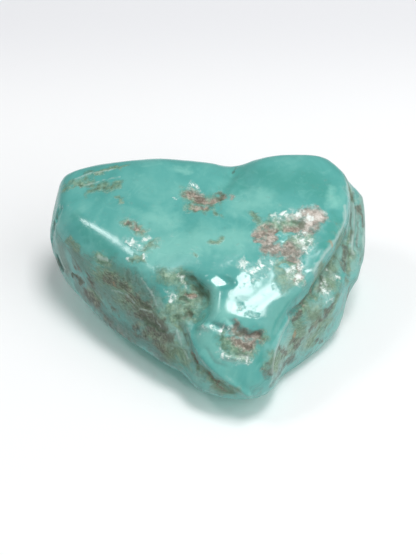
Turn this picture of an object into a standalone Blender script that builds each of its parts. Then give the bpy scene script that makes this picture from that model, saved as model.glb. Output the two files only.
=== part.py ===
"""A raw turquoise nugget: one tumbled stone, heart shaped from above.

Frame: metres, +Z up, +X along the stone's length, the nose towards -Y.
The origin is at the centre of the footprint, on the flat that the stone rests on.
"""

import math

import bmesh
import bpy
from mathutils import Euler, Vector

MM = 0.001

# How far tumbling has rounded the stone.
ROUGH_GRAIN = 0.55 * MM  # voxel of the mesh in which the masses are joined and worn
FINISH_GRAIN = 0.96 * MM  # voxel of the finished surface
MASS_WEAR = 4  # smoothing passes over the joined masses
FOLD_WEAR = 3  # smoothing passes over the folds and hollows
FINISH_WEAR = 2  # smoothing passes over the finished surface

# The tools that cut hollows and folds.
EGG_SEGMENTS = 24
EGG_RINGS = 16
FOLD_STEPS = 5  # steps between two points of a fold's line
FOLD_ROUNDNESS = 4  # bevel resolution of a fold's round tool
WELD_GAP = 0.01 * MM
FLOOR_REACH = 40  # mm, half the side of the block that cuts the rest flat
FLOOR_DEPTH = 9  # mm, its thickness

# The stone grew as several masses. Each is a block given by its corners, in millimetres,
# before wear rounds it. The flat underneath is at height 0.
LEFT_SHOULDER = (
    # upper face: round the back edge and the left end, then along the top of the front crest
    (4.4, 9.8, 18.0), (-6.5, 10.8, 18.4), (-14.4, 10.9, 17.4), (-19.6, 10.3, 16.3),
    (-20.0, 5.2, 15.2), (-17.8, 1.8, 15.2), (-12.2, -2.0, 15.2), (-7.6, -5.0, 15.0),
    (-4.8, -9.2, 14.2), (3.4, -7.0, 15.7), (-9.5, 4.0, 17.3),
    # lower edge of the back slope and of the front crest
    (4.4, 11.2, 16.4), (-6.5, 12.7, 16.6), (-14.4, 12.5, 15.7), (-20.2, 11.2, 14.8),
    (-21.0, 7.0, 12.2), (-20.8, 2.8, 11.8), (-18.2, -0.6, 12.2), (-10.8, -6.0, 12.4),
    (-7.2, -9.2, 11.6), (-5.2, -12.6, 9.6),
    # widest line of the flank, from the back round to the gully
    (3.2, 12.8, 11.2), (-8.0, 14.2, 11.4), (-17.4, 12.8, 10.4), (-20.8, 9.0, 8.8),
    (-22.1, 5.4, 8.4), (-21.1, 4.2, 5.2), (-19.5, 0.3, 4.2), (-13.4, -7.7, 4.0), (-7.7, -12.7, 4.0),
    (-3.4, -16.3, 3.8), (-17.6, 10.0, 4.6), (-8.0, 11.8, 4.4), (3.0, 10.8, 4.4),
    # foot, far inside the widest line, so that the left flank overhangs
    (-14.6, 8.4, -0.8), (-12.4, 4.4, -0.8), (-6.6, -1.2, -0.8), (-2.0, -5.0, -0.8),
    (-8.0, 9.8, -0.8), (2.0, 9.4, -0.8), (2.0, -3.0, -0.8),
)
RIGHT_SHOULDER = (
    # upper face: back edge, right end, then down the right-hand ridge
    (2.6, 9.8, 18.0), (9.4, 11.2, 18.7), (15.8, 11.4, 18.5), (18.7, 8.9, 17.4),
    (19.2, 4.2, 16.6), (18.0, 0.0, 16.0), (15.4, -4.0, 15.4), (13.6, -8.0, 14.6),
    (10.6, -12.8, 12.8), (2.0, -6.4, 15.8), (11.0, 3.2, 17.6),
    # lower edge of the back slope, then the flank and the foot
    (2.6, 11.2, 16.4), (9.4, 13.0, 16.8), (16.0, 13.0, 16.6), (18.8, 10.1, 15.6),
    (18.9, 8.6, 9.4), (14.4, 14.2, 11.4), (5.4, 13.6, 11.0), (15.0, 10.8, 4.6), (4.6, 11.0, 4.4),
    (17.0, -1.4, 5.4), (11.0, -11.4, 4.4),
    (15.6, 9.0, -0.8), (5.0, 9.4, -0.8), (15.6, 0.0, -0.8), (9.6, -9.0, -0.8), (2.0, -6.0, -0.8),
)
NOSE = (
    # upper face
    (-0.6, -9.0, 14.4), (5.5, -8.4, 15.4), (10.2, -12.2, 12.8), (1.8, -13.6, 13.4), (7.2, -14.8, 12.3),
    (-1.6, -13.2, 11.7), (8.8, -16.8, 9.8), (7.9, -19.0, 3.7), (9.3, -16.0, 2.2),
    # lip on the left, which overhangs the foot
    (-3.2, -13.2, 10.4), (-2.4, -15.1, 9.3), (-1.1, -16.9, 8.3), (0.8, -18.6, 7.3), (3.4, -20.0, 6.1),
    (5.6, -20.6, 5.2),
    (0.4, -13.4, 3.0), (3.4, -16.4, 2.8), (8.6, -13.6, -0.8), (8.0, -7.0, -0.8), (0.0, -7.0, -0.8),
)
NOSE_FOOT = (
    (-3.4, -13.2, 7.6), (-1.5, -15.8, 6.4), (0.6, -17.7, 5.6), (3.4, -19.4, 5.2),
    (-3.8, -15.6, 4.2), (-2.8, -17.7, 4.0), (-0.8, -19.3, 4.0), (1.5, -20.2, 4.1), (4.4, -20.7, 4.4),
    (6.8, -19.7, 3.8),
    (4.4, -12.6, -0.8), (7.6, -13.6, -0.8), (1.0, -9.4, -0.8), (6.0, -8.0, -0.8), (0.0, -7.0, -0.8),
)
LOWER_RIGHT = (
    (19.5, -1.0, 6.0), (18.7, -3.0, 3.9), (18.0, -5.6, 2.3), (15.6, -8.3, 1.5), (12.4, -11.3, 1.2),
    (9.2, -14.1, 1.4), (18.2, -3.4, 10.4), (16.8, -7.0, 9.8), (12.0, -11.4, 9.0), (9.6, -14.4, 8.0),
    (18.6, 1.6, 10.0), (17.4, -2.6, -0.8), (15.2, -6.4, -0.8), (12.0, -9.6, -0.8), (9.0, -12.2, -0.8),
    (6.0, -8.0, -0.8),
)
FAR_RIM = (
    (19.0, 10.2, 16.0), (20.6, 10.2, 14.2), (22.0, 9.2, 12.6), (22.1, 6.4, 10.6), (21.8, 3.0, 8.8),
    (21.3, 0.2, 7.4), (20.0, -2.4, 6.6), (19.4, 10.8, 9.0), (20.4, 5.6, 5.4), (18.8, 0.6, 4.6),
    (17.0, 5.6, 15.4), (16.6, 4.0, -0.8), (16.4, 8.0, -0.8),
)

# Hollows: centre, half sizes, and turn in degrees about X, Y and Z of an egg that is cut away.
HOLLOWS = {
    "front_hollow": ((-2.3, -10.6, 13.3), (3.0, 3.8, 2.3), (44, -12, 14)),
    "back_notch": ((3.4, 12.4, 21.4), (3.2, 8.5, 4.2), (0, 0, -12)),
    "back_hollow": ((-10.5, 17.2, 10.8), (5.6, 4.2, 3.8), (0, 20, 4)),
    "back_dimple": ((10.6, 16.2, 8.8), (3.4, 3.2, 4.4), (0, -25, 0)),
    "right_patch": ((12.6, -0.2, 17.7), (4.0, 3.0, 1.2), (12, 8, -20)),
    "right_patch_tail": ((10.8, -5.2, 16.5), (2.0, 3.0, 1.0), (22, 0, 10)),
    "crown_patch": ((0.2, 4.2, 17.9), (3.6, 1.5, 0.9), (8, 0, -10)),
    "nose_patch": ((4.9, -16.0, 11.5), (2.5, 1.7, 0.9), (45, 0, 0)),
    "underside_hollow": ((5.0, 1.0, -2.2), (6.0, 4.0, 3.0), (0, 0, 25)),
}
# Folds: radius of the round tool and the line that its middle follows.
FOLDS = {
    "crown_valley": (3.0, ((2.6, 13.5, 18.8), (3.2, 11.6, 19.5), (3.7, 9.2, 19.9), (4.1, 7.2, 20.0),
                           (4.7, 5.2, 20.1), (5.3, 3.0, 20.4))),
    "gully": (1.9, ((-2.4, -12.0, 11.8), (-3.2, -13.2, 10.7), (-4.0, -14.5, 8.7), (-4.5, -15.8, 6.2),
                    (-4.9, -16.5, 3.8), (-5.0, -15.4, 1.4))),
    "nose_lip": (0.9, ((-3.5, -13.6, 9.0), (-2.9, -15.5, 7.7), (-1.6, -17.3, 6.9), (0.4, -18.9, 6.2),
                       (2.9, -20.5, 5.5), (5.1, -21.6, 4.8))),
    "right_trough": (1.1, ((19.6, 3.0, 12.0), (18.6, 0.9, 11.5), (16.6, -3.2, 11.4), (14.6, -6.5, 11.4),
                           (12.5, -9.8, 11.7), (10.4, -12.9, 11.7), (9.3, -15.4, 10.3), (9.0, -17.6, 8.0),
                           (9.4, -18.8, 5.2))),
    "rim_fold": (0.9, ((19.6, 9.0, 15.8), (20.0, 6.7, 14.5), (19.8, 3.5, 12.8), (19.3, 0.6, 10.8),
                       (20.1, -1.8, 8.6))),
    "back_seam": (1.2, ((0.8, 13.6, 15.8), (2.6, 13.8, 13.2), (4.2, 14.4, 9.8), (3.6, 13.8, 6.8),
                        (2.2, 12.8, 4.6))),
}


def new_object(name, mesh, collection):
    obj = bpy.data.objects.new(name, mesh)
    collection.objects.link(obj)
    return obj


def guide(obj, stone):
    """Marks a tool that shapes the stone; it follows the stone and isn't part of it."""
    obj.parent = stone
    obj.hide_render = True
    obj.display_type = "WIRE"
    return obj


def block(name, corners, collection):
    """A solid block with the given corners, in millimetres."""
    bm = bmesh.new()
    for corner in corners:
        bm.verts.new(Vector(corner) * MM)
    hull = bmesh.ops.convex_hull(bm, input=bm.verts)
    inner = [item for item in hull["geom_interior"] if isinstance(item, bmesh.types.BMVert)]
    bmesh.ops.delete(bm, geom=inner, context="VERTS")
    bmesh.ops.recalc_face_normals(bm, faces=bm.faces)
    mesh = bpy.data.meshes.new(name)
    bm.to_mesh(mesh)
    bm.free()
    return new_object(name, mesh, collection)


def egg(name, centre, half_sizes, turn, collection):
    """An egg-shaped tool, its sizes in millimetres and its turn in degrees."""
    bm = bmesh.new()
    bmesh.ops.create_uvsphere(bm, u_segments=EGG_SEGMENTS, v_segments=EGG_RINGS, radius=MM)
    bmesh.ops.scale(bm, vec=half_sizes, verts=bm.verts)
    rotation = Euler([math.radians(angle) for angle in turn]).to_matrix()
    bmesh.ops.rotate(bm, cent=(0, 0, 0), matrix=rotation, verts=bm.verts)
    bmesh.ops.translate(bm, vec=Vector(centre) * MM, verts=bm.verts)
    mesh = bpy.data.meshes.new(name)
    bm.to_mesh(mesh)
    bm.free()
    return new_object(name, mesh, collection)


def tube(name, radius, line, collection):
    """A round bar that follows a smooth line through the given points, in millimetres."""
    curve = bpy.data.curves.new(name, "CURVE")
    curve.dimensions = "3D"
    curve.resolution_u = FOLD_STEPS
    curve.bevel_depth = radius * MM
    curve.bevel_resolution = FOLD_ROUNDNESS
    curve.use_fill_caps = True
    spline = curve.splines.new("BEZIER")
    spline.bezier_points.add(len(line) - 1)
    for point, place in zip(spline.bezier_points, line):
        point.co = Vector(place) * MM
        point.handle_left_type = "AUTO"
        point.handle_right_type = "AUTO"
    bar = new_object(name + "_line", curve, collection)
    bpy.context.view_layer.update()
    evaluated = bar.evaluated_get(bpy.context.evaluated_depsgraph_get())
    mesh = bpy.data.meshes.new_from_object(evaluated)
    mesh.name = name
    bm = bmesh.new()
    bm.from_mesh(mesh)
    bmesh.ops.remove_doubles(bm, verts=bm.verts, dist=WELD_GAP)
    bmesh.ops.recalc_face_normals(bm, faces=bm.faces)
    bm.to_mesh(mesh)
    bm.free()
    tool = new_object(name, mesh, collection)
    bpy.data.objects.remove(bar)
    return tool


def boolean(stone, tool, operation):
    modifier = stone.modifiers.new(tool.name, "BOOLEAN")
    modifier.operation = operation
    modifier.solver = "EXACT"
    modifier.object = guide(tool, stone)


def remesh(stone, grain):
    modifier = stone.modifiers.new("grain", "REMESH")
    modifier.mode = "VOXEL"
    modifier.voxel_size = grain
    modifier.use_smooth_shade = True


def wear(stone, passes):
    modifier = stone.modifiers.new("wear", "SMOOTH")
    modifier.factor = 0.5
    modifier.iterations = passes


def turquoise():
    material = bpy.data.materials.new("polished_turquoise")
    material.use_nodes = True
    shader = material.node_tree.nodes["Principled BSDF"]
    shader.inputs["Base Color"].default_value = (0.12, 0.43, 0.38, 1.0)
    shader.inputs["Roughness"].default_value = 0.14
    shader.inputs["Metallic"].default_value = 0.0
    shader.inputs["IOR"].default_value = 1.61
    return material


def centre_on_footprint(stone):
    """Moves the stone, with its tools, so that the middle of its bounding box is over the origin."""
    bpy.context.view_layer.update()
    box = stone.evaluated_get(bpy.context.evaluated_depsgraph_get()).bound_box
    low = [min(corner[axis] for corner in box) for axis in range(2)]
    high = [max(corner[axis] for corner in box) for axis in range(2)]
    stone.location = (-(low[0] + high[0]) / 2, -(low[1] + high[1]) / 2, 0.0)


def main():
    for obj in list(bpy.data.objects):
        bpy.data.objects.remove(obj)
    parts = bpy.data.collections.new("turquoise_nugget")
    tools = bpy.data.collections.new("cutters")
    for collection in (parts, tools):
        bpy.context.scene.collection.children.link(collection)

    stone = block("turquoise_nugget", LEFT_SHOULDER, parts)
    stone.data.materials.append(turquoise())
    masses = {"right_shoulder": RIGHT_SHOULDER, "nose": NOSE, "nose_foot": NOSE_FOOT,
              "lower_right": LOWER_RIGHT, "far_rim": FAR_RIM}
    for name, corners in masses.items():
        boolean(stone, block(name, corners, tools), "UNION")
    remesh(stone, ROUGH_GRAIN)
    wear(stone, MASS_WEAR)
    for name, (centre, half_sizes, turn) in HOLLOWS.items():
        boolean(stone, egg(name, centre, half_sizes, turn, tools), "DIFFERENCE")
    for name, (radius, line) in FOLDS.items():
        boolean(stone, tube(name, radius, line, tools), "DIFFERENCE")
    remesh(stone, ROUGH_GRAIN)
    wear(stone, FOLD_WEAR)
    remesh(stone, FINISH_GRAIN)
    wear(stone, FINISH_WEAR)
    below = [(x, y, z) for x in (-FLOOR_REACH, FLOOR_REACH) for y in (-FLOOR_REACH, FLOOR_REACH)
             for z in (-FLOOR_DEPTH, 0)]
    boolean(stone, block("rest_flat", below, tools), "DIFFERENCE")
    centre_on_footprint(stone)


main()
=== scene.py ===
import math

import bmesh
import bpy
import numpy as np
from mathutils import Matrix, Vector, noise
from mathutils.bvhtree import BVHTree


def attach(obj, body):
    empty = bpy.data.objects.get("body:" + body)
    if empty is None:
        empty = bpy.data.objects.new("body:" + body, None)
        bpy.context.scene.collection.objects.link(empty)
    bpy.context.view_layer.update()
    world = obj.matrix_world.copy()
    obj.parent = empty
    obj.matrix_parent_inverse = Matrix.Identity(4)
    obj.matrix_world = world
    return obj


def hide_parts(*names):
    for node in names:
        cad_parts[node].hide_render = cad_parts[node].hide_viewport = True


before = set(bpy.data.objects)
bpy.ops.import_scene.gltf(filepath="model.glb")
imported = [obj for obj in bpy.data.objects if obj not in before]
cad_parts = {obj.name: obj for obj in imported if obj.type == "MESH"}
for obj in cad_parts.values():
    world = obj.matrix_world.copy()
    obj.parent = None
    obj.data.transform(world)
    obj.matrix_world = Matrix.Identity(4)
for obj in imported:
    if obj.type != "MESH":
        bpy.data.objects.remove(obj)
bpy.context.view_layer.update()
mm = 0.001


def toLinear(hexColour):  # "#rrggbb" in sRGB, turned to the linear colour that a socket takes
    parts = [int(hexColour[i:i + 2], 16) / 255 for i in (1, 3, 5)]
    return tuple(c / 12.92 if c <= 0.04045 else ((c + 0.055) / 1.055) ** 2.4 for c in parts) + (1.0,)


# Settings in small letters are the node's options, and the rest are its sockets, by name or number.
def addNode(tree, kind, settings=None, links=None):
    node = tree.nodes.new(kind)
    for name, value in (settings or {}).items():
        if name == "stops":  # a colour ramp's places and colours
            stops = node.color_ramp.elements
            while len(stops) < len(value):
                stops.new(0.5)
            for stop, (place, colour) in zip(stops, value):
                stop.position = place
                stop.color = toLinear(colour)
        elif isinstance(name, str) and name[0].islower():
            setattr(node, name, value)
        else:
            node.inputs[name].default_value = value
    for name, source in (links or {}).items():
        tree.links.new(source, node.inputs[name])
    return node


def newMaterial(name):
    material = bpy.data.materials.new(name)
    material.use_nodes = True
    material.node_tree.nodes.clear()
    return material, material.node_tree


def perMm(size):  # the scale that gives a pattern of about this size, on Object coordinates in metres
    return 1000 / size


# The camera looks down on the stone at 45 degrees, past its nose, as for a catalogue.
cameraValues = {
    "lens": 100,                    # mm
    "sensor": 36,                   # mm, the long side of the view
    "view": (416, 555),             # the view's width and height in pixels
    "elevation": 45,                # degrees above the floor
    "distance": 204.3,              # mm from the point it looks at
    "target": (0.02, -0.07, 9.4),   # mm
    "nearest": 10,                  # mm, nothing closer than this is drawn
}


def cameraPlace(values):  # in mm, with the directions of the view's up and of the line to the camera
    tilt = math.radians(values["elevation"])
    back = Vector((0, -math.cos(tilt), math.sin(tilt)))
    up = Vector((0, math.sin(tilt), math.cos(tilt)))
    return Vector(values["target"]) + back * values["distance"], up, back


def makeCamera(values):
    data = bpy.data.cameras.new("catalogue_camera")
    data.lens = values["lens"]
    data.sensor_width = values["sensor"]
    data.clip_start = values["nearest"] * mm
    camera = bpy.data.objects.new("catalogue_camera", data)
    bpy.context.scene.collection.objects.link(camera)
    camera.location = cameraPlace(values)[0] * mm
    camera.rotation_euler = (math.pi / 2 - math.radians(values["elevation"]), 0, 0)
    bpy.context.scene.camera = camera
    print("camera made")


# The marks on the stone, place by place and kind by kind. Each stroke is a radius and the line that it
# follows, in pixels of the camera's view, and strokes that meet make one patch with a frayed edge.
# Host rock is olive, umber, brown or chalk, with rust specks in it. Deep is darker and worn down in pits,
# creases and on the hollow's wall, and glint marks crystals whose white flecks are partly painted glints. A
# line is a dark groove and a vein a pale rib, a painted highlight where it runs along the right ridge, the
# rim and the lip. Grey and mist are grounds of the flanks, and mist is also painted light in the gully and
# under the lip; the darkest ground is painted shade along the lower left flank. Strong and pale are clouds,
# and in a few places painted shade and painted light; matt is less polished, calm thins the flanks' own
# marks, and clear keeps olive and brown off.
viewMarks = {
    "crown": {
        "brown": [(6, [(190, 193), (198, 197)]), (5.4, [(200, 199), (208, 202), (214, 200)]),
                  (3, [(214, 198), (222, 196), (233, 196)]), (4.6, [(196, 207), (205, 209), (212, 206)])],
        "olive": [(7, [(188, 192), (198, 200), (212, 200)]), (5, [(193, 208), (204, 211), (214, 206)]),
                  (2.6, [(215, 213), (221, 214)]), (2.6, [(117, 199), (121, 202)])],
        "rust": [(2, [(204, 208), (210, 207)])],
        "deep": [(2.6, [(218, 196), (226, 194)])],
        # Painted shade down the crease below the notch.
        "strong": [(9, [(241, 170), (235, 180), (230, 190)])],
        "line": [(1.1, [(236, 167), (229, 178), (225, 188)])],
        "glint": [(2.6, [(185, 185), (192, 184), (200, 189)]), (1.6, [(176, 199), (184, 199)]),
                  (1.6, [(236, 197), (240, 198)])],
    },
    "leftCorner": {
        "brown": [(1.6, [(69, 188), (78, 187)])],
        "olive": [(5, [(64, 190), (73, 184), (83, 182), (92, 181)]),
                  (5, [(90, 191), (99, 188), (108, 188), (119, 184)]),
                  (3.4, [(84, 174), (104, 171), (124, 168)])],
        "deep": [(1.6, [(68, 186), (80, 184)]), (1.4, [(98, 190), (110, 188)])],
        "vein": [(1.0, [(74, 179), (92, 173), (114, 170)]), (0.9, [(84, 184), (102, 181), (120, 177)])],
    },
    "crest": {
        "brown": [(3, [(128, 223), (134, 226), (142, 229)])],
        "olive": [(4.4, [(126, 222), (134, 226), (143, 230)]), (5, [(143, 248), (150, 247), (156, 244)]),
                  (3.4, [(131, 258), (140, 260)]), (3, [(212, 242), (220, 241)]),
                  (2.4, [(190, 251), (197, 255)])],
        "glint": [(3, [(128, 239), (138, 240), (148, 238)]), (3, [(134, 244), (140, 248), (146, 249)]),
                  (2, [(128, 256), (130, 261)]), (2, [(143, 257), (143, 263)])],
    },
    "rightPatch": {
        "brown": [(9, [(307, 216), (312, 213)]), (8, [(306, 226), (313, 222), (317, 216)]),
                  (5, [(258, 233), (266, 231)]), (4, [(258, 240), (268, 241)]),
                  (6, [(272, 232), (274, 240), (277, 247)]), (9, [(274, 248), (284, 249), (295, 251)]),
                  (5, [(285, 257), (293, 259), (298, 263)]), (5, [(288, 227), (297, 228), (302, 233)]),
                  (3, [(299, 265), (298, 277)])],
        "olive": [(4, [(255, 217), (261, 221)]), (8, [(268, 229), (278, 225), (290, 222)]),
                  (6, [(292, 243), (302, 241), (309, 238)]), (10, [(286, 266), (286, 277)]),
                  (5, [(296, 268), (297, 281)])],
        "chalk": [(6, [(302, 228), (310, 220), (318, 212)]), (4, [(292, 216), (302, 213)])],
        "clear": [(3.6, [(280, 236), (287, 238)]), (3.5, [(283, 267), (285, 270)])],
        "deep": [(2.4, [(297, 220), (300, 229)])],
        "glint": [(5, [(277, 218), (285, 214), (296, 212), (303, 212)]),
                  (6, [(303, 238), (309, 240), (307, 247)]), (4, [(303, 254), (301, 268), (298, 283)]),
                  (4, [(288, 272), (294, 278)]), (3, [(303, 222), (312, 216)]),
                  (3, [(251, 315), (254, 316)])],
    },
    "nose": {
        "brown": [(5, [(235, 327), (241, 334), (249, 336)]), (5, [(250, 337), (257, 335)]),
                  (5, [(237, 342), (246, 343), (253, 343)])],
        "olive": [(8, [(230, 345), (238, 350), (248, 350)]), (5, [(226, 337), (229, 346)]),
                  (4, [(258, 340), (264, 335)])],
        "deep": [(3, [(236, 329), (241, 334)])],
        "glint": [(6, [(243, 263), (250, 269), (257, 275)]), (5, [(256, 274), (262, 267), (268, 262)]),
                  # The glint below the hollow lies on the nose's second highlight, which its white flecks
                  # partly paint.
                  (2.4, [(241, 305), (244, 306)]), (4, [(203, 325), (208, 331), (218, 331), (226, 329)]),
                  (5, [(222, 355), (232, 360), (246, 357)])],
    },
    "hollow": {
        "brown": [(3, [(188, 296), (195, 298)])],
        "olive": [(7.5, [(163, 276), (172, 279)]), (7, [(180, 275), (190, 283), (200, 292), (206, 301)]),
                  (13, [(180, 307), (188, 309), (191, 305)]), (9, [(184, 293), (193, 298), (200, 303)]),
                  (4, [(188, 318), (194, 320)])],
        "umber": [(2.4, [(184, 311), (191, 313)])],
        "rust": [(1.6, [(192, 295), (197, 297)])],
        "deep": [(4.8, [(189, 279), (197, 287), (205, 297)]), (3, [(182, 299), (187, 305)]),
                 (3.4, [(180, 309), (189, 314)])],
        "glint": [(3, [(169, 291), (173, 299)]), (3, [(180, 273), (185, 286)])],
    },
    "leftFlank": {
        "grey": [(10, [(74, 254), (86, 266)]), (9, [(60, 246), (66, 268)]),
                 (16, [(100, 285), (120, 300), (145, 322)]), (12, [(112, 272), (140, 290), (155, 306)]),
                 (14, [(160, 330), (170, 350)])],
        # Painted shade: a darker ground along the lower edge of the left flank.
        "dusk": [(8, [(78, 288), (98, 310), (132, 336), (165, 357)])],
        "umber": [(5, [(106, 277), (116, 280), (126, 286)]), (4, [(88, 275), (94, 284)]),
                  (3.4, [(72, 277), (82, 282)]), (6, [(86, 295), (92, 300), (98, 304)]),
                  (3, [(112, 308), (117, 312)]), (6, [(128, 297), (138, 300), (149, 306)]),
                  (7, [(138, 314), (150, 319), (161, 325)]), (6, [(150, 329), (160, 334), (168, 338)]),
                  (5, [(139, 332), (144, 337)]), (5, [(154, 342), (166, 350)]),
                  (3, [(70, 258), (77, 268)])],
        "rust": [(1.2, [(111, 279), (115, 281)]), (1.2, [(130, 299), (133, 302)]),
                 (1.0, [(112, 309), (116, 312)])],
        "deep": [(2.4, [(73, 277), (81, 281)]), (2.6, [(117, 281), (123, 285)]),
                 (3, [(140, 302), (149, 307)]), (3, [(146, 322), (154, 325), (164, 331)]),
                 (2.4, [(139, 314), (144, 320)]), (2.6, [(141, 331), (143, 336)])],
        "olive": [(5, [(98, 259), (108, 264)]), (4, [(67, 241), (76, 248)]),
                  (8, [(98, 273), (112, 279), (126, 288)]), (6, [(88, 292), (98, 299)]),
                  (9, [(124, 297), (142, 307), (158, 320)]), (8, [(148, 332), (162, 342), (170, 354)])],
        "line": [(1.6, [(58, 210), (56, 218)]), (1.8, [(54, 222), (52, 231)]),
                 (1.6, [(52, 236), (51, 245)]), (1.8, [(56, 262), (61, 272)])],
        "vein": [(1.6, [(98, 257), (107, 260)]), (1.0, [(141, 279), (150, 290), (158, 307)]),
                 (1.2, [(60, 205), (57, 222), (55, 240)]), (1.2, [(60, 256), (66, 270)]),
                 (1.0, [(112, 290), (126, 294), (134, 303)]), (1.0, [(140, 309), (152, 312), (160, 326)])],
    },
    "foot": {
        # Mist here is the gully's paler grey, laid lighter as painted light over the shade of the gully and
        # under the lip.
        "mist": [(9, [(176, 318), (184, 340), (190, 358)]), (9, [(196, 372), (214, 386)]),
                 (7, [(157, 304), (168, 322), (174, 344)])],
        "brown": [(1.8, [(190, 347), (194, 355), (199, 364)]), (1.2, [(206, 373), (216, 382), (228, 390)])],
        "calm": [(8, [(196, 372), (206, 384)]), (5, [(186, 346), (192, 362)])],
        "olive": [(2.6, [(177, 322), (182, 332), (186, 343)]), (8, [(178, 354), (184, 362)]),
                  (2.8, [(189, 346), (195, 360), (203, 372)]), (5, [(208, 376), (220, 387), (236, 394)])],
        "line": [(1.0, [(176, 316), (181, 328), (185, 342)])],
        # The first vein is a painted highlight along the lip's ridge.
        "vein": [(2.0, [(189, 329), (197, 350), (205, 364), (229, 380), (249, 396)]),
                 (1.0, [(176, 330), (182, 348), (188, 358)])],
    },
    "rightFlank": {
        "mist": [(11, [(343, 240), (334, 262), (324, 288)]), (11, [(350, 190), (354, 225), (352, 262)]),
                 (12, [(288, 345), (276, 366)]), (13, [(316, 312), (308, 338)]),
                 (7, [(318, 270), (310, 292)]), (7, [(361, 200), (364, 230), (361, 262)])],
        "deep": [(2.6, [(334, 255), (326, 267), (320, 281)]), (2.4, [(312, 287), (307, 297), (299, 304)]),
                 (2, [(346, 180), (352, 200)])],
        "rust": [(2.8, [(328, 240), (331, 247)]), (2, [(311, 286), (306, 297)]),
                 (1.4, [(330, 250), (328, 256)]), (1.4, [(298, 330), (295, 336)])],
        "brown": [(4, [(312, 289), (308, 298), (302, 305), (294, 311)])],
        "umber": [(4, [(279, 348), (285, 352)]), (4, [(293, 340), (300, 344)]),
                  (4, [(319, 320), (312, 330)]), (3, [(331, 306), (326, 316)]),
                  (4, [(300, 312), (294, 320)]), (4, [(267, 367), (270, 375)]),
                  (3, [(317, 340), (323, 342)]), (2.4, [(362, 256), (361, 262)]),
                  (4, [(345, 232), (346, 250), (343, 268)]), (2.4, [(351, 285), (349, 297)]),
                  (4, [(361, 210), (362, 223)])],
        "olive": [(9, [(341, 238), (335, 254), (329, 266)]), (6, [(322, 268), (316, 284), (310, 298)]),
                  (9, [(322, 282), (334, 284)]), (9, [(304, 309), (318, 316)]),
                  (5, [(322, 322), (330, 318)]), (8, [(297, 322), (303, 336), (292, 343)]),
                  (7, [(272, 362), (282, 358), (293, 350)]), (8, [(322, 328), (308, 344)]),
                  (5, [(284, 354), (274, 370)]), (5, [(336, 300), (330, 312)]),
                  (5, [(350, 236), (350, 256), (347, 280)]), (4, [(346, 178), (353, 200)])],
        "line": [(2.2, [(345, 240), (331, 260), (323, 274), (318, 290)]),
                 (1.8, [(313, 291), (306, 301), (294, 312)]), (1.6, [(344, 174), (350, 190), (356, 206)]),
                 (1.4, [(351, 214), (352, 235), (351, 256)]), (1.2, [(358, 222), (358, 246)])],
        # These veins are painted highlights along the right ridge and the rim, on raised ribs.
        "vein": [(2.0, [(345, 205), (344, 222), (336, 238), (325, 252), (313, 271), (306, 292)]),
                 (2.0, [(300, 303), (289, 319), (281, 332), (275, 350), (271, 372)]),
                 (2.2, [(347, 184), (350, 204), (347, 230)]), (1.8, [(354, 202), (355, 228), (353, 252)]),
                 (2.0, [(362, 196), (365, 222), (363, 246)])],
        "glint": [(5, [(324, 284), (328, 292), (327, 300)]), (3, [(332, 275), (338, 278)])],
    },
    "cloudsAndPaintedShading": {
        "pale": [(10, [(155, 218), (170, 222)]), (14, [(155, 257), (180, 247), (205, 238)]),
                 (12, [(215, 242), (240, 240)]), (12, [(240, 205), (262, 200)]),
                 (5, [(331, 190), (333, 205)]), (8, [(220, 315), (232, 312)]),
                 # The two pale clouds on the next line are painted light on the nose's left side, as if lit
                 # from the front-left.
                 (10, [(204, 332), (211, 350)]), (7, [(212, 290), (216, 312)]),
                 (5, [(180, 170), (188, 170)])],
        "matt": [(5, [(209, 296), (214, 304), (214, 311), (207, 321)]), (8, [(166, 262), (192, 262)]),
                 (5, [(218, 196), (238, 197)])],
        # Three strong clouds are painted shade: the one down the notch's valley, and the ones beside the
        # right ridge and on the nose's right, laid darker over the right lamp's sheen.
        "strong": [(13, [(262, 174), (285, 182), (310, 178), (322, 190)]),
                   (5, [(76, 218), (94, 240), (112, 254)]), (7, [(245, 172), (243, 186)]),
                   (6, [(338, 218), (334, 230), (324, 246)]), (11, [(286, 298), (279, 312), (269, 332)]),
                   (5, [(268, 350), (262, 362)])],
    },
}

# The same kinds of marks on the sides that the view does not show, with radius and line in mm.
backMarks = {
    "olive": [(2.2, [(-17, 16, 12), (-12, 17, 11), (-9, 17, 9)]),
              (1.8, [(8, 16.5, 9), (13, 16, 8), (17, 14.5, 6)]), (1.2, [(-3, 15.5, 13), (0, 15.5, 11)]),
              (1.6, [(-8, -2, 0), (-3, 2, 0), (2, 4, 0)]), (1.3, [(19, 3, 4), (17, -1, 3)])],
    "umber": [(1.2, [(-15, 16, 11), (-12, 17, 10)]), (1.0, [(11, 16, 8), (15, 15.5, 7)]),
              (1.0, [(-20, 9, 8), (-20, 5, 7)]), (1.2, [(-6, 0, 0), (-1, 3, 0)]),
              (0.9, [(2, 15.5, 9), (5, 15.5, 7)]), (1.0, [(-14, -2, 5), (-10, -6, 4)]),
              (0.9, [(8, -14, 5), (11, -10, 4)])],
    "brown": [(0.9, [(-11, 17, 8), (-9, 17, 7)]), (1.1, [(6, 5, 0), (10, 2, 0)])],
    "deep": [(0.5, [(-14, 16.5, 11), (-12, 17, 10.5)]), (0.4, [(12, 16, 8), (14, 15.5, 7.5)])],
    "grey": [(5, [(-17, 15, 6), (-6, 15, 5)]), (5, [(6, 15.5, 5), (17, 13, 6)])],
    "vein": [(0.3, [(-16, 16, 6), (-8, 16, 7.5), (-2, 15, 6)]),
             (0.25, [(4, 15.5, 13), (10, 16.5, 11), (17, 15, 11)])],
}

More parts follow.
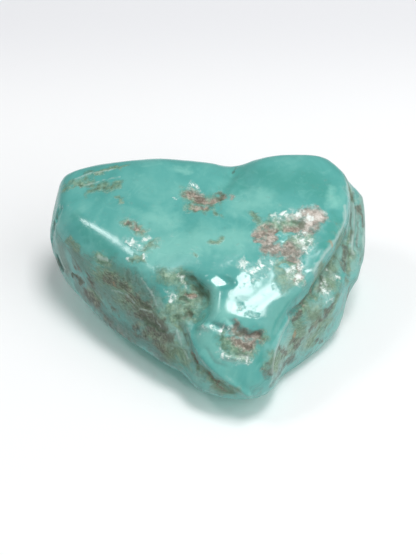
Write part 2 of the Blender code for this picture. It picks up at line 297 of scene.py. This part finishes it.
# Folds and ridges finer than the solid has: depth in mm, below zero for a ridge, then a stroke as above.
viewFolds = {
    "hollowWall": (0.5, 7, [(183, 277), (194, 286), (203, 298)]),
    "nosePatchCrease": (0.4, 3.4, [(231, 322), (239, 332), (247, 336), (258, 335)]),
    "rightPatchEdge": (0.2, 2.6, [(296, 226), (299, 219), (305, 214)]),
    "underLip": (0.14, 4, [(188, 336), (192, 350), (197, 363), (209, 374), (226, 386), (241, 395)]),
    "lip": (-0.3, 3.6, [(186, 322), (193, 338), (200, 354), (211, 367), (232, 384), (249, 396)]),
    "gullyCrease": (0.2, 2.4, [(176, 318), (181, 330), (185, 344)]),
    "gullyRidge": (-0.2, 5, [(158, 313), (166, 326), (173, 344)]),
    "rightRidge": (-0.2, 4, [(323, 250), (312, 271), (305, 293), (292, 309), (283, 327), (277, 341),
                             (271, 358), (270, 380)]),
    "rightCrevice": (0.6, 4, [(346, 240), (331, 261), (320, 278), (315, 292), (303, 304), (290, 314)]),
    "rimStripeOne": (0.3, 2.6, [(346, 188), (350, 212), (350, 238), (351, 258)]),
    "rimStripeTwo": (0.25, 2.6, [(355, 196), (357, 222), (355, 250)]),
    "leftSlitOne": (0.4, 2.6, [(60, 209), (56, 221)]),
    "leftSlitTwo": (0.4, 2.6, [(54, 226), (51, 240)]),
    "leftSlitThree": (0.4, 2.4, [(57, 256), (62, 269)]),
    "noseCrease": (0.12, 2.4, [(206, 350), (214, 363), (225, 367)]),
    "smallPit": (0.1, 2.0, [(241, 305), (243, 306)]),
    "notchCrease": (0.4, 6, [(232, 175), (227, 182), (222, 192)]),
}

# Facets that tumbling has worn: the line along the middle in pixels of the view, the half sizes in mm, how
# far the facet faces forwards and right in degrees, and how round it is along and across, as radii in mm.
# A later facet may cut into an earlier one.
viewFacets = {
    "noseTop": ([(235, 297), (262, 270)], (4.0, 2.2), (22.4, 6.0), (34, 18)),
    "noseArm": ([(209, 281), (228, 283)], (1.4, 0.7), (22.4, 5.4), (34, 9)),
    "lipLedge": ([(205, 326), (224, 330)], (1.5, 0.45), (22.4, 5.4), (24, 6)),
    "patchLedge": ([(226, 357), (245, 357)], (1.2, 0.3), (22, 5), (14, 4)),
    "rightLedge": ([(302, 256), (298, 282)], (1.6, 0.3), (22, 6), (20, 4)),
    "crestLedge": ([(134, 245), (147, 249)], (0.8, 0.3), (22, 4), (14, 4)),
}

nuggetValues = {
    "marks": viewMarks,
    "backMarks": backMarks,
    "folds": viewFolds,
    "facets": viewFacets,
    "weld": 0.002,            # mm, the solid's loose corners are merged within this distance
    "grain": 0.215,           # mm between the points of the fine surface
    "smoothing": (16, 0.5),   # passes that take the remesher's steps away, and how strong each is
    "facetFade": (0.7, 1.7),  # where a facet starts and ends its fading, as shares of its half sizes
    "facetDepth": (2, 4),     # mm from the facet's plane, where it starts and ends its fading too
    "wave": 0.02,             # mm, the slow unevenness that tumbling leaves
    "waveSize": 3.2,          # mm across
    "ripple": 0.005,          # mm, the faster one
    "rippleSize": 0.8,        # mm across
    "recess": 0.12,           # mm, how far the soft brown matrix and the pits are worn down
    "crumb": 0.12,            # mm, how rough the matrix and the crystal pits are
    "crumbSize": 0.75,        # mm across
    "oliveCrumb": 0.6,        # the share of that where the matrix is olive
    "flankRough": 0.03,       # mm, on the flanks, which the tumbler polished less
    "flankSize": 1.3,         # mm across
    "groove": 0.14,           # mm, depth of the dark lines
    "rib": 0.07,              # mm, height of the pale ones
    "drift": (0.75, 1.9),     # mm, how far a mark's edge wanders, and over what distance
    "fray": (0.40, 0.6),      # mm, the same for its finest teeth
    "sway": 0.25,             # the share of that by which a thin line wanders
    "calming": {"flank": 0.7, "grey": 0.5, "mist": 0.3},  # how much of each a calm place loses
    # How far down the stone faces, from -1 straight up to 1 straight down, where each starts and is whole:
    "flankFacing": (-0.55, -0.15),  # the flanks, but for the part of them that is too high
    "bellyFacing": (0.35, 0.7),     # the pale underside
    "unbanded": (0.3, 0.75),        # the end of the flanks' bands
    "flankTop": (15.5, 12.5),       # mm above the floor, where the flanks start and are whole
    "foot": (0.0, 0.6),       # mm above the floor, where the relief starts and is whole
    "middle": (0, 2),         # mm, the point round which the flanks' bands run
    "bandStretch": 1.3,       # how much longer the bands are than they are high
    "bandRadius": 20.0,       # mm, how far the flanks are from that point
    "edges": {                # a mark's strength where its effect starts, and where it is whole
        "clear": (0.35, 0.6), "calm": (0.3, 0.8), "crumb": (0.35, 0.65), "oliveCrumb": (0.4, 0.8),
        "recess": (0.3, 0.7), "pit": (0.3, 0.9), "line": (0.2, 0.9),
    },
    "seeds": {"wander": (0.0, 31.0, 57.0), "wave": 11.0, "ripple": 5.0, "flank": 23.0},
}


class ViewOnStone:  # turns a stroke in the view's pixels into one on the stone, in millimetres
    def __init__(self, node, values):
        places = [vertex.co / mm for vertex in node.data.vertices]
        self.tree = BVHTree.FromPolygons(places, [tuple(face.vertices) for face in node.data.polygons])
        self.eye, self.up, self.back = cameraPlace(values)
        self.width, self.height = values["view"]
        self.reach = values["lens"] / values["sensor"] * self.height
        self.pixel = values["distance"] / self.reach  # its size in mm on the stone

    def spot(self, x, y):
        across, along = x - self.width / 2, self.height / 2 - y
        for percent in range(20):  # a spot just outside the outline moves in to it, a fifth at most
            share = (1 - percent / 100) / self.reach
            ray = Vector((1, 0, 0)) * across * share + self.up * along * share - self.back
            found = self.tree.ray_cast(self.eye, ray)[0]
            if found:
                return found
        raise ValueError("a stroke misses the stone at %s, %s" % (x, y))

    def stroke(self, radius, line):
        return radius * self.pixel, [self.spot(x, y) for x, y in line]


def lineDistance(points, line):  # from every point to the line, in millimetres
    nearest = np.full(len(points), np.inf)
    for start, end in zip(line[:-1], line[1:]):
        start = np.array(start)
        along = np.array(end) - start
        share = np.clip((points - start) @ along / (along @ along), 0, 1)
        gap = np.linalg.norm(points - start - share[:, None] * along, axis=1)
        nearest = np.minimum(nearest, gap)
    return nearest


def smoothStep(values, low, high):  # 0 at low and 1 at high, which may be the smaller of the two
    share = np.clip((values - low) / (high - low), 0, 1)
    return share * share * (3 - 2 * share)


# About -1 to 1 at every point, where each octave is half as big and half as strong as the one before.
def noiseAt(points, size, octaves, seed):
    move = Vector((seed, -seed, seed * 0.5))
    return np.array([noise.fractal(Vector(p) / size + move, 1.0, 2.0, octaves) for p in points])


def crystalsAt(points, size):  # 0 in the middle of each crystal to 1 at its edge
    found = [noise.voronoi(Vector(p) / size)[0] for p in points]
    return np.array([d[0] / max(d[1], 1e-6) for d in found])


def readMesh(mesh):  # places and normals in millimetres
    places = np.empty(len(mesh.vertices) * 3, np.float32)
    normals = np.empty(len(mesh.vertices) * 3, np.float32)
    mesh.vertices.foreach_get("co", places)
    mesh.vertex_normals.foreach_get("vector", normals)
    return places.reshape(-1, 3).astype(float) / mm, normals.reshape(-1, 3).astype(float)


def writeMesh(mesh, places):
    mesh.vertices.foreach_set("co", (places * mm).astype(np.float32).ravel())
    mesh.update()


def fineCopy(node, values):  # the solid's surface again, with points close enough to carve
    bm = bmesh.new()
    bm.from_mesh(node.data)
    bmesh.ops.remove_doubles(bm, verts=bm.verts, dist=values["weld"] * mm)
    mesh = bpy.data.meshes.new("nugget_start")
    bm.to_mesh(mesh)
    bm.free()
    start = bpy.data.objects.new("nugget_start", mesh)
    bpy.context.scene.collection.objects.link(start)
    curve = start.modifiers.new("round", "SUBSURF")
    curve.levels = curve.render_levels = 1
    grain = start.modifiers.new("grain", "REMESH")
    grain.mode = "VOXEL"
    grain.voxel_size = values["grain"] * mm
    settle = start.modifiers.new("settle", "SMOOTH")
    settle.iterations, settle.factor = values["smoothing"]
    bpy.context.view_layer.update()
    evaluated = start.evaluated_get(bpy.context.evaluated_depsgraph_get())
    fine = bpy.data.meshes.new_from_object(evaluated)
    bpy.data.objects.remove(start)
    print("fine surface:", len(fine.vertices), "points")
    return fine


def wearFacet(places, view, values, line, halfSizes, facing, roundness):  # moves the places on to the facet
    start, end = (np.array(view.spot(*spot)) for spot in line)
    centre = (start + end) / 2
    forwards, right = (math.tan(math.radians(angle)) for angle in facing)
    out = np.array(Vector((right, -forwards, 1)).normalized())
    along = end - start - out * ((end - start) @ out)
    along /= np.linalg.norm(along)
    across = np.cross(out, along)
    offset = places - centre
    u, v, height = offset @ along, offset @ across, offset @ out
    far = np.hypot(u / halfSizes[0], v / halfSizes[1])
    share = 1 - smoothStep(far, *values["facetFade"])
    share *= 1 - smoothStep(np.abs(height), *values["facetDepth"])
    gap = -u ** 2 / (2 * roundness[0]) - v ** 2 / (2 * roundness[1]) - height
    gap -= (gap * share).sum() / share.sum()  # keeps the stone's middle height there
    places += out * (gap * share)[:, None]


def carveStone(fine, view, values):  # the facets and the folds
    places, normals = readMesh(fine)
    for facet in values["facets"].values():
        wearFacet(places, view, values, *facet)
    for depth, width, line in values["folds"].values():
        radius, path = view.stroke(width, line)
        fold = np.exp(-(lineDistance(places, path) / radius) ** 2)
        places -= normals * (depth * fold)[:, None]
    writeMesh(fine, places)
    print("facets and folds carved")


def markStrength(places, strokes):  # 1 on a stroke's line, 0.5 at its edge, 0 at twice its radius
    strength = np.zeros(len(places))
    for radius, line in strokes:
        strength = np.maximum(strength, 1 - 0.5 * lineDistance(places, line) / radius)
    return strength


def stoneMarks(places, normals, view, values):  # the strength of each kind of mark at every point
    wander = np.zeros_like(places)
    for reach, size in (values["drift"], values["fray"]):
        moves = [noiseAt(places, size, 2, seed) for seed in values["seeds"]["wander"]]
        wander += reach * np.stack(moves, axis=1)
    found = {}
    groups = values["marks"].values()
    for kind in sorted({kind for group in groups for kind in group}):
        strokes = [view.stroke(*stroke) for group in groups for stroke in group.get(kind, [])]
        strokes += values["backMarks"].get(kind, [])
        sway = values["sway"] if kind in ("line", "vein") else 1
        found[kind] = markStrength(places + wander * sway, strokes)
    clear = smoothStep(found.pop("clear"), *values["edges"]["clear"])
    calm = smoothStep(found.pop("calm"), *values["edges"]["calm"])
    for kind in ("olive", "brown"):
        found[kind] *= 1 - clear
    down = -normals[:, 2]
    found["flank"] = smoothStep(down, *values["flankFacing"]) * smoothStep(places[:, 2], *values["flankTop"])
    for kind, share in values["calming"].items():
        found[kind] *= 1 - share * calm
    found["belly"] = smoothStep(down, *values["bellyFacing"])
    found["banded"] = found["flank"] * (1 - smoothStep(down, *values["unbanded"]))
    return found


def bandPlaces(places, values):  # the places drawn out round the stone: a pattern on them runs in bands
    aside = places[:, :2] - np.array(values["middle"])
    distance = np.maximum(np.hypot(aside[:, 0], aside[:, 1]), 1)  # never 0, which can't divide
    turned = aside / distance[:, None] * values["bandRadius"] / values["bandStretch"]
    return np.stack([turned[:, 0], turned[:, 1], places[:, 2] - distance], axis=1)


def stoneRelief(places, found, values):  # how far every point stands out, in millimetres
    edges, seeds = values["edges"], values["seeds"]
    rough = smoothStep(np.maximum(found["brown"], found["glint"]), *edges["crumb"])
    rough = np.maximum(rough, values["oliveCrumb"] * smoothStep(found["olive"], *edges["oliveCrumb"]))
    worn = np.maximum(smoothStep(found["brown"], *edges["recess"]), smoothStep(found["deep"], *edges["pit"]))
    lift = values["wave"] * noiseAt(places, values["waveSize"], 2, seeds["wave"])
    lift += values["ripple"] * noiseAt(places, values["rippleSize"], 2, seeds["ripple"])
    lift -= values["recess"] * worn + values["groove"] * smoothStep(found["line"], *edges["line"])
    lift += values["rib"] * smoothStep(found["vein"], *edges["line"])
    lift += values["crumb"] * rough * (0.5 - crystalsAt(places, values["crumbSize"]))
    lift += values["flankRough"] * found["flank"] * noiseAt(places, values["flankSize"], 3, seeds["flank"])
    return lift * smoothStep(places[:, 2], *values["foot"])


def makeNugget(values):
    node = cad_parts["turquoise_nugget"]
    view = ViewOnStone(node, cameraValues)
    fine = fineCopy(node, values)
    carveStone(fine, view, values)
    places, normals = readMesh(fine)
    found = stoneMarks(places, normals, view, values)
    band = bandPlaces(places, values)
    places += normals * stoneRelief(places, found, values)[:, None]
    places[:, 2] = np.maximum(places[:, 2], 0.0)  # nothing goes below the floor
    writeMesh(fine, places)
    print("marks and relief made")

    for name, strength in found.items():
        attribute = fine.attributes.new(name, "FLOAT", "POINT")
        attribute.data.foreach_set("value", strength.astype(np.float32))
    attribute = fine.attributes.new("band", "FLOAT_VECTOR", "POINT")
    attribute.data.foreach_set("vector", (band * mm).astype(np.float32).ravel())
    fine.polygons.foreach_set("use_smooth", [True] * len(fine.polygons))
    fine.materials.clear()
    fine.materials.append(polishedTurquoise(turquoiseValues))
    fine.name = "turquoise_stone"
    stone = bpy.data.objects.new("turquoise_stone", fine)
    bpy.context.scene.collection.objects.link(stone)
    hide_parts("turquoise_nugget")
    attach(stone, "root")
    print("stone made:", len(fine.polygons), "faces")


turquoiseValues = {
    "ground": ((0.34, "#4c9c95"), (0.5, "#57a69f"), (0.68, "#6cb3aa")),  # the clouds, from dark to light
    # strong and pale: darker and paler clouds, and in a few places painted shade and painted light
    "strong": "#45978d",
    "pale": "#86c7bb",
    "grey": "#587f73",        # the left flank's own ground; the next is a paler ground of the flanks and painted light in the gully; the last is painted shade along the lower edge
    "mist": "#84aea3",
    "dusk": "#456c62",
    "belly": "#70e0d0",       # the underside, which tints the sheet below it
    "stain": ((0.4, "#38483c"), (0.6, "#5a6151")),
    "pith": "#98b4ac",        # pale fibres of the flanks
    "olive": ("#485f45", "#688363", "#93aa8a"),  # the host rock, each with a dark, a middle and a light grain
    "umber": ("#35342a", "#4f4c3d", "#747a68"),
    "brown": ("#5d4f42", "#85776a", "#bbada1"),
    "chalk": ("#9c8f84", "#c9c0b6", "#e2ded6"),
    "deep": "#42583f",
    "line": "#48574a",
    # pale ribs, and painted highlights along the right ridge, the rim and the lip
    "vein": "#b4cdc6",
    "rust": "#a8845f",
    # white flecks of the crystals, partly painted glints
    "crystalAndGlint": "#e6f2ec",
    "contrast": {"olive": 0.13, "umber": 0.08, "brown": 0.13, "chalk": 0.15},  # less is harder
    "covers": {               # how much of a mark's colour shows where the mark is whole
        "strong": 0.75, "pale": 0.6, "grey": 0.85, "mist": 0.8, "dusk": 0.8, "olive": 0.8, "umber": 0.8,
        "brown": 0.9, "chalk": 0.7, "deep": 0.75, "line": 0.65, "vein": 0.5, "rust": 0.6,
    },
    "edges": {                # a mark's frayed edge: size of its teeth in mm, their reach, and its softness
        "strong": (3.0, 0.9, 0.45), "pale": (3.0, 0.9, 0.5), "grey": (2.0, 1.0, 0.35),
        "mist": (2.0, 1.0, 0.35), "dusk": (2.0, 1.0, 0.35), "olive": (1.3, 1.6, 0.42),
        "umber": (1.2, 1.9, 0.34), "brown": (1.1, 1.6, 0.32), "chalk": (1.0, 1.2, 0.4),
        "deep": (0.8, 0.9, 0.3), "line": (0.8, 0.9, 0.3), "vein": (0.8, 1.1, 0.35),
        "rust": (0.8, 1.0, 0.4), "glint": (0.9, 1.2, 0.3),
    },
    "teeth": (7.0, 0.78),     # detail and roughness of the noise that frays the edges
    "noises": {               # size in mm, detail, roughness and distortion
        "cloud": (9.0, 4.0, 0.55, 0.9),
        "wisp": (2.4, 6.0, 0.6, 1.6),      # thin pale clouds
        "mottle": (1.9, 9.0, 0.78, 0.6),   # stains of the flanks
        "fibre": (1.6, 4.0, 0.6, 0.3),
        "grain": (0.7, 6.0, 0.75, 0.5),    # the host rock's grains
        "fleck": (0.5, 2.0, 0.6, 1.2),     # its relief
        "chip": (0.9, 6.0, 0.7, 0.4),      # bright crystals, partly painted glints
    },
    "shares": {               # a noise, from which value up to which, and the share at each end
        "wispShare": ("wisp", 0.5, 0.8, 0.0, 0.3),
        "stainShare": ("mottle", 0.47, 0.62, 0.0, 0.5),
        "fibreShare": ("fibreGap", 0.0, 0.05, 0.28, 0.0),  # a fibre runs where its noise is near the middle
        "threadShare": ("mottle", 0.4, 0.6, 0.1, 1.0),     # and shows most on the stains
        "chipShare": ("chip", 0.46, 0.6, 0.1, 0.95),
    },
    "unbroken": ("strong", "pale", "cloud", "wisp", "chip"),  # the patterns that never run in bands
    "unpolished": 0.6,        # how much of the host rock's dullness the flanks have
    "polish": 0.18,           # roughness of the tumbled surface
    "raw": 0.40,              # roughness of the host rock
    "ior": 1.61,              # turquoise
    "bump": 0.12,             # mm, the relief of the flecks
    "bumpStrength": 0.8,      # of that relief, from 0 to 1
}


def edgeMask(tree, name, place, teeth, size, reach, softness):  # an attribute whose edge is frayed by noise
    strength = addNode(tree, "ShaderNodeAttribute", {"attribute_name": name}).outputs["Fac"]
    fray = addNode(tree, "ShaderNodeTexNoise",
                   {"Scale": perMm(size), "Detail": teeth[0], "Roughness": teeth[1]},
                   {"Vector": place}).outputs["Fac"]
    frayed = addNode(tree, "ShaderNodeMath", {"operation": "MULTIPLY_ADD", 1: reach},
                     {0: fray, 2: strength}).outputs[0]
    middle = 0.5 + reach / 2  # a mark's strength at its edge, with the noise halfway
    return addNode(tree, "ShaderNodeMapRange",
                   {"interpolation_type": "SMOOTHSTEP", "From Min": middle - softness,
                    "From Max": middle + softness}, {"Value": frayed}).outputs["Result"]


def strongest(tree, masks):  # the strongest of several masks at every point
    most = masks[0]
    for mask in masks[1:]:
        most = addNode(tree, "ShaderNodeMath", {"operation": "MAXIMUM"}, {0: most, 1: mask}).outputs[0]
    return most


def stonePatterns(tree, values):  # the masks, noises and shares that the stone's looks use, by name
    place = addNode(tree, "ShaderNodeTexCoord").outputs["Object"]
    band = addNode(tree, "ShaderNodeAttribute", {"attribute_name": "band"}).outputs["Vector"]
    patterns = {name: addNode(tree, "ShaderNodeAttribute", {"attribute_name": name}).outputs["Fac"]
                for name in ("flank", "banded", "belly", "matt")}
    along = addNode(tree, "ShaderNodeMix", {"data_type": "VECTOR"},
                    {0: patterns["banded"], 4: place, 5: band}).outputs[1]
    for name, edge in values["edges"].items():
        where = place if name in values["unbroken"] else along
        patterns[name] = edgeMask(tree, name, where, values["teeth"], *edge)
    for name, (size, detail, roughness, distortion) in values["noises"].items():
        where = place if name in values["unbroken"] else along
        patterns[name] = addNode(
            tree, "ShaderNodeTexNoise",
            {"Scale": perMm(size), "Detail": detail, "Roughness": roughness, "Distortion": distortion},
            {"Vector": where}).outputs["Fac"]
    side = addNode(tree, "ShaderNodeMath", {"operation": "SUBTRACT", 1: 0.5},
                   {0: patterns["fibre"]}).outputs[0]
    patterns["fibreGap"] = addNode(tree, "ShaderNodeMath", {"operation": "ABSOLUTE"}, {0: side}).outputs[0]
    for name, (source, low, high, lowShare, highShare) in values["shares"].items():
        patterns[name] = addNode(
            tree, "ShaderNodeMapRange",
            {"interpolation_type": "SMOOTHSTEP", "From Min": low, "From Max": high, "To Min": lowShare,
             "To Max": highShare}, {"Value": patterns[source]}).outputs["Result"]
    patterns["rocky"] = strongest(tree, [patterns[name] for name in ("flank", "grey", "mist", "dusk")])
    patterns["rock"] = strongest(tree, [patterns[name] for name in ("brown", "olive", "umber")])
    return patterns


def layMark(tree, values, patterns, ground, name):  # lays one kind of mark over the ground
    share = addNode(tree, "ShaderNodeMath", {"operation": "MULTIPLY", 1: values["covers"][name]},
                    {0: patterns[name]}).outputs[0]
    return addNode(tree, "ShaderNodeMix", {"data_type": "RGBA", 7: toLinear(values[name])},
                   {0: share, 6: ground}).outputs[2]


def cloudyTurquoise(tree, values, patterns):  # the turquoise itself, with its clouds and wisps, a few of the clouds being painted shade and painted light
    ground = addNode(tree, "ShaderNodeValToRGB", {"stops": values["ground"]},
                     {"Fac": patterns["cloud"]}).outputs["Color"]
    ground = layMark(tree, values, patterns, ground, "strong")
    share = addNode(tree, "ShaderNodeMath", {"operation": "MULTIPLY_ADD", 1: values["covers"]["pale"]},
                    {0: patterns["pale"], 2: patterns["wispShare"]}).outputs[0]
    return addNode(tree, "ShaderNodeMix", {"data_type": "RGBA", 7: toLinear(values["pale"])},
                   {0: share, 6: ground}).outputs[2]


def stainedFlanks(tree, values, patterns, ground):  # a greyer ground with painted light and painted shade in places, the underside, and stains on both
    for name in ("grey", "mist", "dusk"):
        ground = layMark(tree, values, patterns, ground, name)
    ground = addNode(tree, "ShaderNodeMix", {"data_type": "RGBA", 7: toLinear(values["belly"])},
                     {0: patterns["belly"], 6: ground}).outputs[2]
    stain = addNode(tree, "ShaderNodeValToRGB", {"stops": values["stain"]},
                    {"Fac": patterns["grain"]}).outputs["Color"]
    share = addNode(tree, "ShaderNodeMath", {"operation": "MULTIPLY"},
                    {0: patterns["stainShare"], 1: patterns["rocky"]}).outputs[0]
    return addNode(tree, "ShaderNodeMix", {"data_type": "RGBA"}, {0: share, 6: ground, 7: stain}).outputs[2]


def hostRock(tree, values, patterns, ground):  # grainy patches, and the pale fibres of the flanks
    for name, contrast in values["contrast"].items():
        places = (0.5 - contrast, 0.5, 0.5 + contrast)
        rock = addNode(tree, "ShaderNodeValToRGB", {"stops": list(zip(places, values[name]))},
                       {"Fac": patterns["grain"]}).outputs["Color"]
        share = addNode(tree, "ShaderNodeMath", {"operation": "MULTIPLY", 1: values["covers"][name]},
                        {0: patterns[name]}).outputs[0]
        ground = addNode(tree, "ShaderNodeMix", {"data_type": "RGBA"},
                         {0: share, 6: ground, 7: rock}).outputs[2]
    share = addNode(tree, "ShaderNodeMath", {"operation": "MULTIPLY"},
                    {0: patterns["fibreShare"], 1: patterns["threadShare"]}).outputs[0]
    share = addNode(tree, "ShaderNodeMath", {"operation": "MULTIPLY"},
                    {0: share, 1: patterns["rocky"]}).outputs[0]
    return addNode(tree, "ShaderNodeMix", {"data_type": "RGBA", 7: toLinear(values["pith"])},
                   {0: share, 6: ground}).outputs[2]


def fineMarks(tree, values, patterns, ground):  # pits, lines, veins and specks, and the crystals' white flecks on top, partly painted glints
    for name in ("deep", "line", "vein", "rust"):
        ground = layMark(tree, values, patterns, ground, name)
    share = addNode(tree, "ShaderNodeMath", {"operation": "MULTIPLY"},
                    {0: patterns["chipShare"], 1: patterns["glint"]}).outputs[0]
    return addNode(tree, "ShaderNodeMix", {"data_type": "RGBA", 7: toLinear(values["crystalAndGlint"])},
                   {0: share, 6: ground}).outputs[2]


# Tumbled raw turquoise: a waxy blue-green stone of IOR 1.61 with a glassy polish, which shows sharp
# highlights on its crests, and duller brown and olive host rock where the matrix comes through.
def polishedTurquoise(values):
    material, tree = newMaterial("tumbled_raw_turquoise")
    patterns = stonePatterns(tree, values)
    ground = cloudyTurquoise(tree, values, patterns)
    ground = stainedFlanks(tree, values, patterns, ground)
    ground = hostRock(tree, values, patterns, ground)
    ground = fineMarks(tree, values, patterns, ground)
    rock, matt, glint = (patterns[name] for name in ("rock", "matt", "glint"))
    halfRaw = addNode(tree, "ShaderNodeMath", {"operation": "MULTIPLY", 1: values["unpolished"]},
                      {0: patterns["rocky"]}).outputs[0]
    roughness = addNode(tree, "ShaderNodeMapRange", {"To Min": values["polish"], "To Max": values["raw"]},
                        {"Value": strongest(tree, [rock, matt, halfRaw])}).outputs["Result"]
    height = addNode(tree, "ShaderNodeMath", {"operation": "MULTIPLY"},
                     {0: patterns["fleck"], 1: strongest(tree, [rock, glint, halfRaw])}).outputs[0]
    bump = addNode(tree, "ShaderNodeBump",
                   {"Strength": values["bumpStrength"], "Distance": values["bump"] * mm}, {"Height": height})
    shader = addNode(tree, "ShaderNodeBsdfPrincipled", {"IOR": values["ior"]},
                     {"Base Color": ground, "Roughness": roughness, "Normal": bump.outputs["Normal"]})
    addNode(tree, "ShaderNodeOutputMaterial", {}, {"Surface": shader.outputs[0]})
    return material


studioValues = {
    "floor": ("#f1f2f3", "#e4e5e8"),   # the white sheet round the stone, and a greyer painted shade further back where the lamps' light falls off
    "floorRough": 0.6,                 # roughness of the sheet
    "fading": (0.040, 0.075),          # metres behind the stone's middle, where the painted shade starts and is whole
    "floorSize": 3.0,                  # metres
    "wall": "#ffffff",
    "room": 0.308,                     # brightness of the white room
    "lamps": {                         # name: place and size in metres, power in watts
        "top_softbox": ((0.08, 0.0, 0.44), (0.165, 0.145), 1.09),
        "left_softbox": ((-0.30, 0.03, 0.42), (0.11, 0.10), 0.40),
        "right_softbox": ((0.34, -0.18, 0.30), (0.50, 0.50), 1.12),
    },
}


# Matt white paper: an even, soft white without gloss, with painted shade further back where the lamps' light
# falls off.
def mattWhitePaper(values):
    material, tree = newMaterial("matt_white_paper")
    place = addNode(tree, "ShaderNodeTexCoord").outputs["Object"]
    depth = addNode(tree, "ShaderNodeSeparateXYZ", {}, {"Vector": place}).outputs["Y"]
    share = addNode(tree, "ShaderNodeMapRange",
                    {"interpolation_type": "SMOOTHSTEP", "From Min": values["fading"][0],
                     "From Max": values["fading"][1]}, {"Value": depth}).outputs["Result"]
    near, far = (toLinear(colour) for colour in values["floor"])
    sheet = addNode(tree, "ShaderNodeMix", {"data_type": "RGBA", 6: near, 7: far}, {0: share}).outputs[2]
    shader = addNode(tree, "ShaderNodeBsdfPrincipled", {"Roughness": values["floorRough"]},
                     {"Base Color": sheet})
    addNode(tree, "ShaderNodeOutputMaterial", {}, {"Surface": shader.outputs[0]})
    return material


def makeStudio(values):
    bm = bmesh.new()
    bmesh.ops.create_grid(bm, x_segments=1, y_segments=1, size=values["floorSize"] / 2)
    mesh = bpy.data.meshes.new("studio_floor")
    bm.to_mesh(mesh)
    bm.free()
    floor = bpy.data.objects.new("studio_floor", mesh)
    bpy.context.scene.collection.objects.link(floor)
    mesh.materials.append(mattWhitePaper(values))
    for name, (place, size, power) in values["lamps"].items():
        data = bpy.data.lights.new(name, "AREA")
        data.shape = "RECTANGLE"
        data.size, data.size_y = size
        data.energy = power
        lamp = bpy.data.objects.new(name, data)
        bpy.context.scene.collection.objects.link(lamp)
        lamp.location = place
        lamp.rotation_euler = (-Vector(place)).to_track_quat("-Z", "Y").to_euler()
    world = bpy.data.worlds.new("white_room")
    world.use_nodes = True
    background = world.node_tree.nodes["Background"]
    background.inputs["Color"].default_value = toLinear(values["wall"])
    background.inputs["Strength"].default_value = values["room"]
    bpy.context.scene.world = world
    bpy.context.scene.view_settings.view_transform = "Standard"
    print("studio made")


makeCamera(cameraValues)
makeNugget(nuggetValues)
makeStudio(studioValues)
